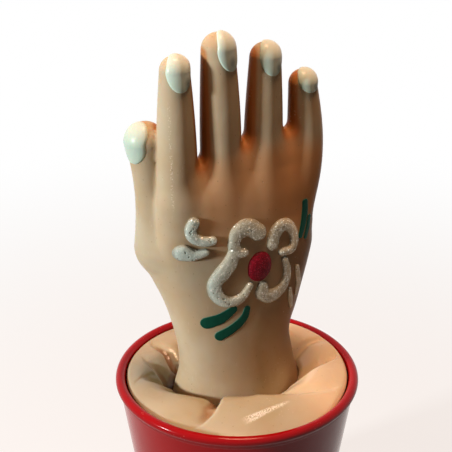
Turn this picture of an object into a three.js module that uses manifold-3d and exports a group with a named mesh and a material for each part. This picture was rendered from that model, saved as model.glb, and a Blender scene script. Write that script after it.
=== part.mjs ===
// Glove display hand: a rubber glove stretched over a hand-shaped former that stands in a red pot.
// Millimetres, +Z up, origin at the middle of the pot's foot.
// The back of the hand faces -Y and its thumb points to -X. Heights of the hand are above the pot's rim.

import * as THREE from 'three';
import { triTable } from 'three/addons/objects/MarchingCubes.js';
import { mergeVertices } from 'three/addons/utils/BufferGeometryUtils.js';
import Module from 'manifold-3d';

const wasm = await Module();
wasm.setup();

// Pot
const potHeight = 116;
const lipRadius = 65;
const lipBeadRadius = 2.6;
const lipOverhang = 2;
const potWall = 2.8;
const footRadius = 47;
const footPad = 12;
const footPadCircle = 37;
const footPadHeight = 2.5;
const potFloor = 6;
const potFacets = 64;

// Ballast, post and former
const ballastTop = 60;
const postSide = 18;
const postAboveBallast = 34;
const postInBallast = 46;
const formerCell = { x: 5, y: 6, z: 10 };

// Glove
const glove = {
  wall: 1.8,
  lowerEdge: -36,
  cell: { x: 2.9, y: 4.6, z: 6.6 },
  innerCell: { x: 3.5, y: 5.2, z: 8.4 },
};

// Clearances between neighbours
const seatGap = 0.3;
const socketClearance = 0.3;
const paintGap = 0.38;
const cuffClearance = 0.6;
const formerGap = 1.8;

// Palm and wrist, as level sections from the hidden stump up to the knuckles
const palmSections = [
  { z: -60, left: -38, right: 39.5, front: -22, back: 29, squareness: 2 },
  { z: -12, left: -32, right: 37.2, front: -20, back: 27.5, squareness: 2 },
  { z: 4, left: -27, right: 33, front: -18.5, back: 25.5, squareness: 2.1 },
  { z: 24, left: -29, right: 29.8, front: -17, back: 23, squareness: 2.2 },
  { z: 42, left: -33.4, right: 33, front: -15.8, back: 21.5, squareness: 2.4 },
  { z: 66, left: -38, right: 37.4, front: -14.5, back: 20, squareness: 2.6 },
  { z: 92, left: -41.4, right: 38.2, front: -12.4, back: 17, squareness: 2.8 },
  { z: 116, left: -41.4, right: 43.4, front: -7.5, back: 13.5, squareness: 3 },
];

// The palm's upper edge closes in a dome, whose crest climbs towards the little finger
const crestHeight = 127.3;
const crestSlope = 0.29;
const crestStart = 100;

// Fingers and thumb: centre and radius at the root and at the ball of the tip, and the swell and bow between
const rootHeight = 84;
const fingers = {
  index: {
    root: [-31.3, 1, rootHeight], rootRadius: 9.7,
    tip: [-31.4, 1.5, 167], tipRadius: 7.3,
    swell: 1.4, bow: 0.1,
  },
  middle: {
    root: [-9.2, 0.6, rootHeight], rootRadius: 8.5,
    tip: [-9.8, 1.5, 175.2], tipRadius: 8.1,
    swell: 1.8, bow: 0.8,
  },
  ring: {
    root: [13, 0.6, rootHeight], rootRadius: 9.2,
    tip: [14.5, 1.5, 168.9], tipRadius: 7.7,
    swell: 1.3, bow: 0,
  },
  little: {
    root: [32.6, 1, rootHeight], rootRadius: 8,
    tip: [34.8, 1.5, 154.2], tipRadius: 7.1,
    swell: 1.8, bow: 3,
  },
};
const thumb = {
  root: [-36.6, 13, 74], rootRadius: 13.6,
  tip: [-43.4, 11.6, 131], tipRadius: 9.8,
  swell: -2.9, bow: -0.4,
};
const thumbMound = { from: [-19.4, 11, 42], fromRadius: 12.6, to: [-33, 13, 70], toRadius: 13.6 };
const palmHeel = { from: [20, 10, 40], fromRadius: 13, to: [28, 8, 72], toRadius: 13.5 };
const moundBlend = 14;
const thumbBlend = 4;
const webBlend = 5;
const betweenBlend = 3;

// Nails: where each is turned to about its digit, its half width, its reach below the tip's ball and over it,
// how much of its upper end is rounded, and how far it leans aside as it goes over the top
const nailThickness = 1;
const nailStep = 2.4;
const nailCuticle = 0.42;
const nails = {
  thumb: { digit: thumb, turn: -68, halfWidth: 8.2, below: 9.5, over: 12, rounded: 8, lean: 0 },
  index: { digit: fingers.index, turn: 3, halfWidth: 6.8, below: 10, over: 13, rounded: 7, lean: 2.8 },
  middle: { digit: fingers.middle, turn: 27, halfWidth: 6.8, below: 9.6, over: 12, rounded: 6, lean: 4.2 },
  ring: { digit: fingers.ring, turn: 8, halfWidth: 6.4, below: 8.6, over: 13, rounded: 7, lean: 3.2 },
  little: { digit: fingers.little, turn: 13, halfWidth: 6.2, below: 4.4, over: 11.5, rounded: 5, lean: 2 },
};

// Painted strokes on the back of the hand: points across and up, widths at the start, middle and end
const strokeStep = 4;
const petalHeight = 1.8;
const leafHeight = 0.6;
const petals = {
  petals_left: [
    {
      path: [[5.6, 85], [0.2, 88.4], [-4.8, 87.1], [-7.1, 83.7], [-7.7, 79.9], [-5.8, 76.2], [-2.3, 75.6]],
      widths: [9.4, 6.6, 4.8],
    },
    {
      path: [[-8.1, 75.3], [-10.3, 70.6], [-14.7, 65.7], [-18.1, 60.7], [-17, 54.6], [-12.7, 50.6],
        [-7.3, 50.4], [-2.9, 52.8], [0.5, 57.5]],
      widths: [8, 7.2, 3.6],
    },
  ],
  petal_upper_right: [
    {
      path: [[13.4, 77.2], [14.3, 81.9], [17.4, 85.6], [21.8, 85.9], [25.2, 81.6], [25.8, 76.5], [23.7, 72.8],
        [18.8, 72.3]],
      widths: [6.8, 6, 4.3],
    },
  ],
  petal_lower_right: [
    {
      path: [[20.1, 67.6], [21.5, 62.3], [21.1, 56], [17.4, 51.1], [11.8, 49.3], [7.3, 51.6], [7.5, 55]],
      widths: [3.6, 6.2, 6.6],
    },
  ],
  side_hook: [
    {
      path: [[-27.8, 94.4], [-29.3, 91.2], [-28.4, 87.4], [-25, 85], [-21.1, 84.2], [-18.6, 84.4]],
      widths: [6.2, 5.6, 4.8],
    },
  ],
  side_drop: [{ path: [[-33.2, 79.1], [-28.2, 77.6], [-22.3, 78.6]], widths: [9.2, 6, 3.9] }],
  edge_stroke_upper: [
    { path: [[28.1, 61.3], [29.1, 56.2], [30.1, 50.8], [28.9, 45]], widths: [2.8, 4, 2.8] },
  ],
  edge_stroke_lower: [{ path: [[24.1, 49.6], [24.8, 44], [25.6, 38.6]], widths: [2.5, 3.6, 2.6] }],
};
const leaves = {
  leaf_left_upper: [{ path: [[-21.7, 39], [-14.9, 41.3], [-8.5, 45.4]], widths: [6.8, 5.9, 4.2] }],
  leaf_left_lower: [
    { path: [[-15.6, 31.4], [-8.9, 34.9], [-3.1, 39.7], [-1, 44.6]], widths: [5.4, 4.8, 3.4] },
  ],
  leaf_right_inner: [
    { path: [[33, 95.4], [33.1, 89.7], [31.8, 83.3], [29.9, 78.1]], widths: [3.2, 3.4, 2.6] },
  ],
  leaf_right_outer: [{ path: [[36.2, 86.4], [35, 80.8], [33.4, 76.4]], widths: [2.6, 2.8, 2.4] }],
};
const flowerCentre = { middle: [6, 66.6], halfLength: 7.9, halfWidth: 6.5, lean: 17, height: 2.6 };

// Cuff: the glove's spare length, bunched round the wrist inside the pot
const cuff = {
  bottom: -40,
  innerEdge: -9,
  outerEdge: -4,
  roll: 7,
  creaseWidth: 8,
  hollow: { angle: -102, share: 0.45, depth: 7, spread: 11, reach: 0.26 },
};
// Each crease runs from its angle at the wrist to its angle at the pot, and is deepest half way
const creases = [
  { inner: -124, outer: -138, depth: 4.5 },
  { inner: -96, outer: -122, depth: 4.5 },
  { inner: -42, outer: -38, depth: 4.5 },
  { inner: 58, outer: 80, depth: 5 },
  { inner: 87, outer: 99, depth: 4 },
  { inner: 128, outer: 138, depth: 4.5 },
  { inner: 164, outer: 174, depth: 4 },
  { inner: -158, outer: -168, depth: 4.5 },
];

const radians = THREE.MathUtils.degToRad;
const halvings = 16;
const weldDistance = 1e-4;

// Materials
const redGloss = new THREE.MeshStandardMaterial({ color: 0xb8060c, roughness: 0.18, metalness: 0 });
const plaster = new THREE.MeshStandardMaterial({ color: 0xd8d2c6, roughness: 0.9, metalness: 0 });
const beech = new THREE.MeshStandardMaterial({ color: 0xb88a58, roughness: 0.6, metalness: 0 });
const formerFoam = new THREE.MeshStandardMaterial({ color: 0xe2d8c4, roughness: 0.8, metalness: 0 });
const gloveRubber = new THREE.MeshStandardMaterial({ color: 0xb9a184, roughness: 0.32, metalness: 0 });
const nailPaint = new THREE.MeshStandardMaterial({ color: 0xd7dec3, roughness: 0.2, metalness: 0 });
const petalPaint = new THREE.MeshStandardMaterial({ color: 0xb4ae9c, roughness: 0.45, metalness: 0 });
const redPaint = new THREE.MeshStandardMaterial({ color: 0x8c0a20, roughness: 0.5, metalness: 0 });
const greenPaint = new THREE.MeshStandardMaterial({ color: 0x024b38, roughness: 0.5, metalness: 0 });

// A smooth value through the palm's sections at one height
function sectionValue(z, key) {
  const last = palmSections.length - 1;
  const height = THREE.MathUtils.clamp(z, palmSections[0].z, palmSections[last].z);
  let i = palmSections.findIndex((section) => section.z > height) - 1;
  if (i < 0) i = last - 1;
  const slope = (j) => {
    const before = palmSections[Math.max(j - 1, 0)];
    const after = palmSections[Math.min(j + 1, last)];
    return (after[key] - before[key]) / (after.z - before.z);
  };
  const span = palmSections[i + 1].z - palmSections[i].z;
  const t = (height - palmSections[i].z) / span;
  return (2 * t ** 3 - 3 * t ** 2 + 1) * palmSections[i][key] + (t ** 3 - 2 * t ** 2 + t) * span * slope(i)
    + (3 * t ** 2 - 2 * t ** 3) * palmSections[i + 1][key] + (t ** 3 - t ** 2) * span * slope(i + 1);
}

// Two surfaces flow into each other where they come nearer than the reach
function smoothUnion(a, b, reach) {
  const overlap = Math.max(reach - Math.abs(a - b), 0) / reach;
  return Math.min(a, b) - overlap * overlap * reach / 4;
}

// Distance to the palm and wrist, negative inside
function palmDistance(x, y, z) {
  const [left, right] = [sectionValue(z, 'left'), sectionValue(z, 'right')];
  const [front, back] = [sectionValue(z, 'front'), sectionValue(z, 'back')];
  const power = sectionValue(z, 'squareness');
  const halfWidth = (right - left) / 2;
  const halfDepth = (back - front) / 2;
  const crest = crestHeight + crestSlope * x - crestStart;
  const u = Math.abs(x - (left + right) / 2) / halfWidth;
  const v = Math.abs(y - (front + back) / 2) / halfDepth;
  const rise = Math.max(z - crestStart, 0) / crest;
  const rho = (u ** power + v ** power + rise ** 2) ** (1 / power);
  const across = u ** (power - 1) / halfWidth;
  const deep = v ** (power - 1) / halfDepth;
  const tiny = 1e-6;
  const steepness = Math.hypot(across, deep, 2 * rise / crest / power);
  const gradient = steepness / Math.max(rho, tiny) ** (power - 1) + tiny;
  return Math.max((rho - 1) / gradient, -halfWidth);
}

// Distance to a finger or thumb: a tapered, slightly swollen column with a round tip
function digitDistance(x, y, z, digit) {
  const [rootX, rootY, rootZ] = digit.root;
  const [tipX, tipY, tipZ] = digit.tip;
  const t = THREE.MathUtils.clamp((z - rootZ) / (tipZ - rootZ), 0, 1);
  const bulge = Math.sin(Math.PI * t);
  const centreX = THREE.MathUtils.lerp(rootX, tipX, t) + digit.bow * bulge;
  const centreY = THREE.MathUtils.lerp(rootY, tipY, t);
  const radius = THREE.MathUtils.lerp(digit.rootRadius, digit.tipRadius, t) + digit.swell * bulge;
  const past = Math.max(z - tipZ, 0) + Math.max(rootZ - z, 0);
  return Math.hypot(x - centreX, y - centreY, past) - radius;
}

// Distance to a mound: two balls with a straight taper between them
function moundDistance(x, y, z, mound) {
  const axis = mound.to.map((value, i) => value - mound.from[i]);
  const offset = [x - mound.from[0], y - mound.from[1], z - mound.from[2]];
  const along = axis[0] * offset[0] + axis[1] * offset[1] + axis[2] * offset[2];
  const t = THREE.MathUtils.clamp(along / (axis[0] ** 2 + axis[1] ** 2 + axis[2] ** 2), 0, 1);
  const away = offset.map((value, i) => value - t * axis[i]);
  return Math.hypot(...away) - THREE.MathUtils.lerp(mound.fromRadius, mound.toRadius, t);
}

// Distance to the whole hand. The fingers flow into each other at their roots, which leaves the webs.
function handDistance(x, y, z) {
  let body = palmDistance(x, y, z);
  body = smoothUnion(body, moundDistance(x, y, z, palmHeel), moundBlend);
  body = smoothUnion(body, moundDistance(x, y, z, thumbMound), moundBlend);
  const withThumb = smoothUnion(body, digitDistance(x, y, z, thumb), thumbBlend);
  let spread = Infinity;
  for (const finger of Object.values(fingers)) {
    spread = smoothUnion(spread, digitDistance(x, y, z, finger), betweenBlend);
  }
  return Math.min(withThumb, smoothUnion(body, spread, webBlend));
}

// The box that the hand fits in, with a margin of two cells
function handBox(cell) {
  const digits = [...Object.values(fingers), thumb];
  const margin = new THREE.Vector3(cell.x, cell.y, cell.z).multiplyScalar(2);
  const box = new THREE.Box3();
  for (const section of palmSections) {
    box.expandByPoint(new THREE.Vector3(section.left, section.front, section.z));
    box.expandByPoint(new THREE.Vector3(section.right, section.back, section.z));
  }
  for (const digit of digits) {
    const reach = Math.max(digit.tipRadius, digit.rootRadius) + Math.abs(digit.swell) + Math.abs(digit.bow);
    for (const point of [digit.root, digit.tip]) {
      box.expandByPoint(new THREE.Vector3(...point).addScalar(reach));
      box.expandByPoint(new THREE.Vector3(...point).addScalar(-reach));
    }
  }
  return box.expandByVector(margin);
}

// A cell of the grid that the surface is walked through: its corners, and which two each edge joins
const corners = [[0, 0, 0], [1, 0, 0], [1, 1, 0], [0, 1, 0], [0, 0, 1], [1, 0, 1], [1, 1, 1], [0, 1, 1]];
const cellEdges = [
  [0, 1], [1, 2], [2, 3], [3, 0],
  [4, 5], [5, 6], [6, 7], [7, 4],
  [0, 4], [1, 5], [2, 6], [3, 7],
];

// Where the surface crosses a cell's edge, found by halving and kept clear of the edge's ends
function crossing(distance, start, end) {
  const nearestEnd = 0.08;
  const point = (t) => start.map((value, i) => THREE.MathUtils.lerp(value, end[i], t));
  const startInside = distance(...start) < 0;
  let [low, high] = [0, 1];
  for (let halving = 0; halving < halvings; halving++) {
    const t = (low + high) / 2;
    if ((distance(...point(t)) < 0) === startInside) low = t;
    else high = t;
  }
  return point(THREE.MathUtils.clamp((low + high) / 2, nearestEnd, 1 - nearestEnd));
}

// The closed mesh of a surface, walked cell by cell, with points where it crosses the cells' edges
function surfaceMesh(distance, box, cell) {
  const size = box.getSize(new THREE.Vector3());
  const counts = ['x', 'y', 'z'].map((axis) => Math.ceil(size[axis] / cell[axis]) + 1);
  const place = (index) => index.map((n, i) => box.min.getComponent(i) + n * cell['xyz'[i]]);
  const number = ([i, j, k]) => (k * counts[1] + j) * counts[0] + i;
  const inside = new Uint8Array(counts[0] * counts[1] * counts[2]);
  const eachCell = (limit, visit) => {
    for (let k = 0; k < counts[2] - limit; k++) {
      for (let j = 0; j < counts[1] - limit; j++) {
        for (let i = 0; i < counts[0] - limit; i++) visit([i, j, k]);
      }
    }
  };
  eachCell(0, (index) => { inside[number(index)] = distance(...place(index)) < 0 ? 1 : 0; });
  const positions = [];
  const triangles = [];
  const known = new Map();
  const entriesPerPattern = 16;
  eachCell(1, (index) => {
    const cellCorners = corners.map((step) => step.map((n, axis) => n + index[axis]));
    const numbers = cellCorners.map(number);
    const pattern = numbers.reduce((sum, n, bit) => sum + (inside[n] << bit), 0);
    for (let entry = pattern * entriesPerPattern; triTable[entry] >= 0; entry++) {
      const [a, b] = cellEdges[triTable[entry]].sort((p, q) => numbers[p] - numbers[q]);
      const key = `${numbers[a]} ${numbers[b]}`;
      if (!known.has(key)) {
        known.set(key, known.size);
        positions.push(...crossing(distance, place(cellCorners[a]), place(cellCorners[b])));
      }
      triangles.push(known.get(key));
    }
  });
  const geometry = new THREE.BufferGeometry();
  geometry.setAttribute('position', new THREE.Float32BufferAttribute(positions, 3));
  geometry.setIndex(triangles);
  return facingOut(geometry);
}

// Turns a closed mesh whose triangles all face in, so that they face out
function facingOut(geometry) {
  const position = geometry.attributes.position;
  const index = Array.from(geometry.index.array);
  const point = (i) => new THREE.Vector3().fromBufferAttribute(position, i);
  let volume = 0;
  for (let i = 0; i < index.length; i += 3) {
    volume += point(index[i]).dot(point(index[i + 1]).cross(point(index[i + 2])));
  }
  geometry.setIndex(volume < 0 ? index.reverse() : index);
  return geometry;
}

function toSolid(geometry) {
  const bare = geometry.clone();
  bare.deleteAttribute('normal');
  bare.deleteAttribute('uv');
  const merged = mergeVertices(bare, weldDistance);
  return new wasm.Manifold(new wasm.Mesh({
    numProp: 3,
    vertProperties: new Float32Array(merged.attributes.position.array),
    triVerts: new Uint32Array(merged.index.array),
  }));
}

function toGeometry(solid) {
  const mesh = solid.getMesh();
  const geometry = new THREE.BufferGeometry();
  geometry.setAttribute('position', new THREE.Float32BufferAttribute(mesh.vertProperties, 3));
  geometry.setIndex(Array.from(mesh.triVerts));
  return geometry;
}

function boxSolid(width, depth, bottom, top) {
  const box = new THREE.BoxGeometry(width, depth, top - bottom);
  return toSolid(box.translate(0, 0, (top + bottom) / 2));
}

// The hand's form drawn in by an inset and cut level at the bottom
function handSolid(inset, cell, bottom) {
  const box = handBox(cell);
  const lowest = box.min.z + cell.z;
  const distance = (x, y, z) => Math.max(handDistance(x, y, z) + inset, lowest - z);
  const whole = toSolid(surfaceMesh(distance, box, cell));
  const size = box.getSize(new THREE.Vector3());
  return whole.intersect(boxSolid(size.x * 2, size.y * 2, bottom, box.max.z));
}

function mesh(name, geometry, material) {
  const made = new THREE.Mesh(geometry, material);
  made.name = name;
  return made;
}

// Walks out from a point inside the hand until it has left the surface by the given height
function surfacePoint(from, direction, height) {
  const step = 0.75;
  let near = 0;
  const outside = (reach) => {
    const p = from.clone().addScaledVector(direction, reach);
    return handDistance(p.x, p.y, p.z) > height;
  };
  while (!outside(near + step)) near += step;
  let far = near + step;
  for (let halving = 0; halving < halvings; halving++) {
    const middle = (near + far) / 2;
    if (outside(middle)) far = middle;
    else near = middle;
  }
  return from.clone().addScaledVector(direction, far);
}

// A low raised patch on the hand: rows of points across it, domed above and lying on the skin below.
// pointAt(row, side, height) places a point; side runs from -1 to 1, and the first and last rows are tips.
function raisedPatch(rows, pointAt, height, fullness, underSides = [0]) {
  const topSides = [-1, -0.8, -0.35, 0.35, 0.8, 1];
  const positions = [];
  const triangles = [];
  const add = (point) => positions.push(...point.toArray()) / 3 - 1;
  const dome = (side) => (1 - Math.abs(side) ** fullness) ** (1 / fullness);
  const ring = (row) => {
    const top = topSides.map((side) => add(pointAt(row, side, paintGap + height * row.cap * dome(side))));
    const under = underSides.map((side) => add(pointAt(row, -side, paintGap)));
    return [...top, ...under];
  };
  const first = add(pointAt(rows[0], 0, paintGap));
  const rings = rows.slice(1, -1).map(ring);
  const last = add(pointAt(rows[rows.length - 1], 0, paintGap));
  const count = topSides.length + underSides.length;
  for (let i = 0; i < count; i++) {
    const next = (i + 1) % count;
    triangles.push(first, rings[0][i], rings[0][next]);
    triangles.push(last, rings[rings.length - 1][next], rings[rings.length - 1][i]);
    for (let r = 0; r + 1 < rings.length; r++) {
      triangles.push(rings[r][i], rings[r + 1][i], rings[r + 1][next]);
      triangles.push(rings[r][i], rings[r + 1][next], rings[r][next]);
    }
  }
  const geometry = new THREE.BufferGeometry();
  geometry.setAttribute('position', new THREE.Float32BufferAttribute(positions, 3));
  geometry.setIndex(triangles);
  return facingOut(geometry);
}

// Rows along a length whose ends are rounded off, closer together near the ends.
// Each says how far along it is, and how much of the full width is left there.
function roundedRows(length, startRound, endRound, widestStep) {
  const fewestSteps = 6;
  const steps = Math.max(fewestSteps, Math.ceil(length * (Math.PI / 2) / widestStep));
  const left = (distance, round) => Math.sqrt(1 - (1 - Math.min(distance / round, 1)) ** 2);
  return Array.from({ length: steps + 1 }, (unused, i) => {
    const along = length * (1 - Math.cos(Math.PI * i / steps)) / 2;
    return { along, cap: Math.min(left(along, startRound), left(length - along, endRound)) };
  });
}

// A point on the back of the hand, over a place across and up
function onBack(across, up, height) {
  const core = (sectionValue(up, 'front') + sectionValue(up, 'back')) / 2;
  return surfacePoint(new THREE.Vector3(across, core, up), new THREE.Vector3(0, -1, 0), height);
}

// One run of the brush along a path on the back of the hand
function strokeGeometry(stroke, height, fullness) {
  const curve = new THREE.SplineCurve(stroke.path.map(([across, up]) => new THREE.Vector2(across, up)));
  const length = curve.getLength();
  const [start, middle, end] = stroke.widths;
  const widthAt = (t) => (t < 0.5
    ? THREE.MathUtils.lerp(start, middle, THREE.MathUtils.smoothstep(t * 2, 0, 1))
    : THREE.MathUtils.lerp(middle, end, THREE.MathUtils.smoothstep(t * 2 - 1, 0, 1)));
  const rows = roundedRows(length + (start + end) / 2, start / 2, end / 2, strokeStep);
  const pointAt = (row, side, level) => {
    const t = THREE.MathUtils.clamp((row.along - start / 2) / length, 0, 1);
    const past = row.along - start / 2 - t * length;
    const tangent = curve.getTangentAt(t);
    const centre = curve.getPointAt(t).addScaledVector(tangent, past);
    const offset = side * row.cap * widthAt(t) / 2;
    return onBack(centre.x - tangent.y * offset, centre.y + tangent.x * offset, level);
  };
  return raisedPatch(rows, pointAt, height, fullness);
}

// The strokes that make one painted shape, run together
function paintGeometry(strokes, height, fullness) {
  const solids = strokes.map((stroke) => toSolid(strokeGeometry(stroke, height, fullness)));
  return toGeometry(solids.reduce((shape, stroke) => shape.add(stroke)));
}

// The flower's oval centre, a domed drop of paint
function centreGeometry() {
  const { middle, halfLength, halfWidth, lean, height } = flowerCentre;
  const axis = new THREE.Vector2(Math.sin(radians(lean)), Math.cos(radians(lean)));
  const rowCount = 9;
  const rows = Array.from({ length: rowCount }, (unused, i) => {
    const angle = (i / (rowCount - 1)) * Math.PI;
    return { along: -halfLength * Math.cos(angle), cap: Math.sin(angle) };
  });
  const pointAt = (row, side, level) => {
    const offset = side * row.cap * halfWidth;
    const across = middle[0] + axis.x * row.along + axis.y * offset;
    const up = middle[1] + axis.y * row.along - axis.x * offset;
    return onBack(across, up, level);
  };
  return raisedPatch(rows, pointAt, height, 2);
}

// A nail: an almond outline laid round the fingertip and over its top
function nailGeometry({ digit, turn, halfWidth, below, over, rounded, lean }) {
  const tip = new THREE.Vector3(...digit.tip);
  const facing = new THREE.Vector3(Math.sin(radians(turn)), -Math.cos(radians(turn)), 0);
  const sideways = new THREE.Vector3(Math.cos(radians(turn)), Math.sin(radians(turn)), 0);
  const up = new THREE.Vector3(0, 0, 1);
  const length = below + over;
  const rows = roundedRows(length, length * nailCuticle, rounded, nailStep);
  const pointAt = (row, side, level) => {
    const along = row.along - below;
    const from = tip.clone().addScaledVector(up, Math.min(along, 0));
    const climb = Math.max(along, 0) / digit.tipRadius;
    const turnAside = (side * row.cap * halfWidth + lean * Math.sin(climb)) / digit.tipRadius;
    const forward = facing.clone().multiplyScalar(Math.cos(climb)).addScaledVector(up, Math.sin(climb));
    const direction = forward.multiplyScalar(Math.cos(turnAside));
    direction.addScaledVector(sideways, Math.sin(turnAside));
    return surfacePoint(from, direction, level);
  };
  const underSides = [-0.66, -0.33, 0, 0.33, 0.66];
  return raisedPatch(rows, pointAt, nailThickness, 4, underSides);
}

// Pot: inner and outer radius of the tapered wall at a height above the pot's foot
const wallTop = potHeight - 2 * lipBeadRadius;
const wallTopRadius = lipRadius - lipOverhang;
function potOuter(z) {
  return THREE.MathUtils.mapLinear(z, 0, wallTop, footRadius, wallTopRadius);
}
function potInner(z) {
  return potOuter(z) - potWall;
}

function potGeometry() {
  const beadCentre = new THREE.Vector2(lipRadius - lipBeadRadius, potHeight - lipBeadRadius);
  const footRound = 2;
  const base = footPadHeight;
  const lip = [];
  const lipSteps = 6;
  const [startAngle, endAngle] = [-70, 200];
  for (let i = 0; i <= lipSteps; i++) {
    const angle = radians(THREE.MathUtils.lerp(startAngle, endAngle, i / lipSteps));
    const around = new THREE.Vector2(Math.cos(angle), Math.sin(angle));
    lip.push(around.multiplyScalar(lipBeadRadius).add(beadCentre));
  }
  const profile = [
    new THREE.Vector2(0, base),
    new THREE.Vector2(potOuter(base) - footRound, base),
    new THREE.Vector2(potOuter(base + footRound), base + footRound),
    new THREE.Vector2(potOuter(wallTop - lipBeadRadius / 2), wallTop - lipBeadRadius / 2),
    ...lip,
    new THREE.Vector2(potInner(wallTop - lipBeadRadius), wallTop - lipBeadRadius),
    new THREE.Vector2(potInner(potFloor + footRound), potFloor + footRound),
    new THREE.Vector2(potInner(potFloor) - footRound, potFloor),
    new THREE.Vector2(0, potFloor),
  ];
  const bowl = toSolid(new THREE.LatheGeometry(profile, potFacets).rotateX(Math.PI / 2));
  const pad = boxSolid(footPad, footPad, 0, base + (potFloor - base) / 2);
  const directions = [[1, 0], [0, 1], [-1, 0], [0, -1]];
  const pads = directions.map(([x, y]) => pad.translate(x * footPadCircle, y * footPadCircle, 0));
  return toGeometry(pads.reduce((pot, next) => pot.add(next), bowl));
}

// Ballast: a plaster plug cast in the pot, with a square socket for the post
function ballastGeometry() {
  const bottom = potFloor + seatGap;
  const chamfer = 3;
  const profile = [
    new THREE.Vector2(0, bottom),
    new THREE.Vector2(potInner(bottom) - chamfer, bottom),
    new THREE.Vector2(potInner(bottom + chamfer) - seatGap, bottom + chamfer),
    new THREE.Vector2(potInner(ballastTop) - seatGap, ballastTop),
    new THREE.Vector2(0, ballastTop),
  ];
  const plug = new THREE.LatheGeometry(profile, potFacets / 2).rotateX(Math.PI / 2);
  const opening = postSide + 2 * socketClearance;
  const socketFloor = ballastTop - postInBallast - seatGap;
  return toGeometry(toSolid(plug).subtract(boxSolid(opening, opening, socketFloor, ballastTop + 1)));
}

// Former: the hand-shaped core, flat at its stump, with a square socket for the post
const stumpHeight = ballastTop + seatGap - potHeight;
const postTop = ballastTop + postAboveBallast - potHeight;
function formerGeometry() {
  const opening = postSide + 2 * socketClearance;
  const socket = boxSolid(opening, opening, stumpHeight - 1, postTop + seatGap);
  return toGeometry(handSolid(glove.wall + formerGap, formerCell, stumpHeight).subtract(socket));
}

// Glove: an even skin over the former, open at its lower edge
function gloveGeometry() {
  const outer = handSolid(0, glove.cell, glove.lowerEdge);
  const inner = handSolid(glove.wall, glove.innerCell, glove.lowerEdge - 1);
  return toGeometry(outer.subtract(inner));
}

// The cuff's top at an angle from the front, and at a share of the way from the wrist to the pot
function cuffHeight(angle, share) {
  const wrapped = (difference) => THREE.MathUtils.euclideanModulo(difference + 180, 360) - 180;
  let height = THREE.MathUtils.lerp(cuff.innerEdge, cuff.outerEdge, share);
  height += cuff.roll * Math.sqrt(4 * share * (1 - share));
  for (const crease of creases) {
    const run = THREE.MathUtils.lerp(crease.inner, crease.outer, share);
    const away = wrapped(angle - run) / cuff.creaseWidth;
    height -= crease.depth * Math.sin(Math.PI * share) * Math.exp(-away * away);
  }
  const { hollow } = cuff;
  const across = wrapped(angle - hollow.angle) / hollow.spread;
  const along = (share - hollow.share) / hollow.reach;
  return height - hollow.depth * Math.exp(-across * across - along * along);
}

function cuffGeometry() {
  const turns = 72;
  const topShares = [0.04, 0.15, 0.3, 0.45, 0.6, 0.75, 0.88, 0.96];
  const wristX = (sectionValue(0, 'left') + sectionValue(0, 'right')) / 2;
  const wristY = (sectionValue(0, 'front') + sectionValue(0, 'back')) / 2;
  const atWrist = (direction, z) => {
    return surfacePoint(new THREE.Vector3(wristX, wristY, z), direction, cuffClearance);
  };
  const atPot = (direction, z) => {
    const radius = Math.min(potInner(potHeight + z), lipRadius - 2 * lipBeadRadius) - cuffClearance;
    return direction.clone().multiplyScalar(radius).setZ(z);
  };
  const positions = [];
  const triangles = [];
  for (let turn = 0; turn < turns; turn++) {
    const angle = (turn / turns) * 360 - 180;
    const direction = new THREE.Vector3(Math.sin(radians(angle)), -Math.cos(radians(angle)), 0);
    const edge = (share) => cuffHeight(angle, share);
    const acrossTop = (share) => {
      return atWrist(direction, edge(share)).lerp(atPot(direction, edge(share)), share);
    };
    const section = [
      atWrist(direction, cuff.bottom),
      atWrist(direction, (cuff.bottom + edge(0)) / 2),
      atWrist(direction, edge(0)),
      ...topShares.map(acrossTop),
      atPot(direction, edge(1)),
      atPot(direction, (cuff.bottom + edge(1)) / 2),
      atPot(direction, cuff.bottom),
    ];
    positions.push(...section.flatMap((point) => point.toArray()));
    const count = section.length;
    const nextTurn = (turn + 1) % turns;
    for (let i = 0; i < count; i++) {
      const next = (i + 1) % count;
      triangles.push(turn * count + i, nextTurn * count + i, nextTurn * count + next);
      triangles.push(turn * count + i, nextTurn * count + next, turn * count + next);
    }
  }
  const geometry = new THREE.BufferGeometry();
  geometry.setAttribute('position', new THREE.Float32BufferAttribute(positions, 3));
  geometry.setIndex(triangles);
  return facingOut(geometry);
}

const potGroup = new THREE.Group();
potGroup.add(mesh('pot', potGeometry(), redGloss));
potGroup.add(mesh('ballast', ballastGeometry(), plaster));

const handGroup = new THREE.Group();
handGroup.position.z = potHeight;
const postBottom = ballastTop - postInBallast - potHeight;
const post = mesh('support_post', new THREE.BoxGeometry(postSide, postSide, postTop - postBottom), beech);
post.position.z = (postTop + postBottom) / 2;
handGroup.add(post);
handGroup.add(mesh('hand_former', formerGeometry(), formerFoam));
handGroup.add(mesh('glove_skin', gloveGeometry(), gloveRubber));
handGroup.add(mesh('glove_cuff', cuffGeometry(), gloveRubber));
for (const [name, nail] of Object.entries(nails)) {
  handGroup.add(mesh(`nail_${name}`, nailGeometry(nail), nailPaint));
}
for (const [name, strokes] of Object.entries(petals)) {
  handGroup.add(mesh(name, paintGeometry(strokes, petalHeight, 2), petalPaint));
}
handGroup.add(mesh('flower_centre', centreGeometry(), redPaint));
for (const [name, strokes] of Object.entries(leaves)) {
  handGroup.add(mesh(name, paintGeometry(strokes, leafHeight, 4), greenPaint));
}

const displayHand = new THREE.Group();
displayHand.add(potGroup, handGroup);
export default displayHand;
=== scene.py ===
import itertools
import math

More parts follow.
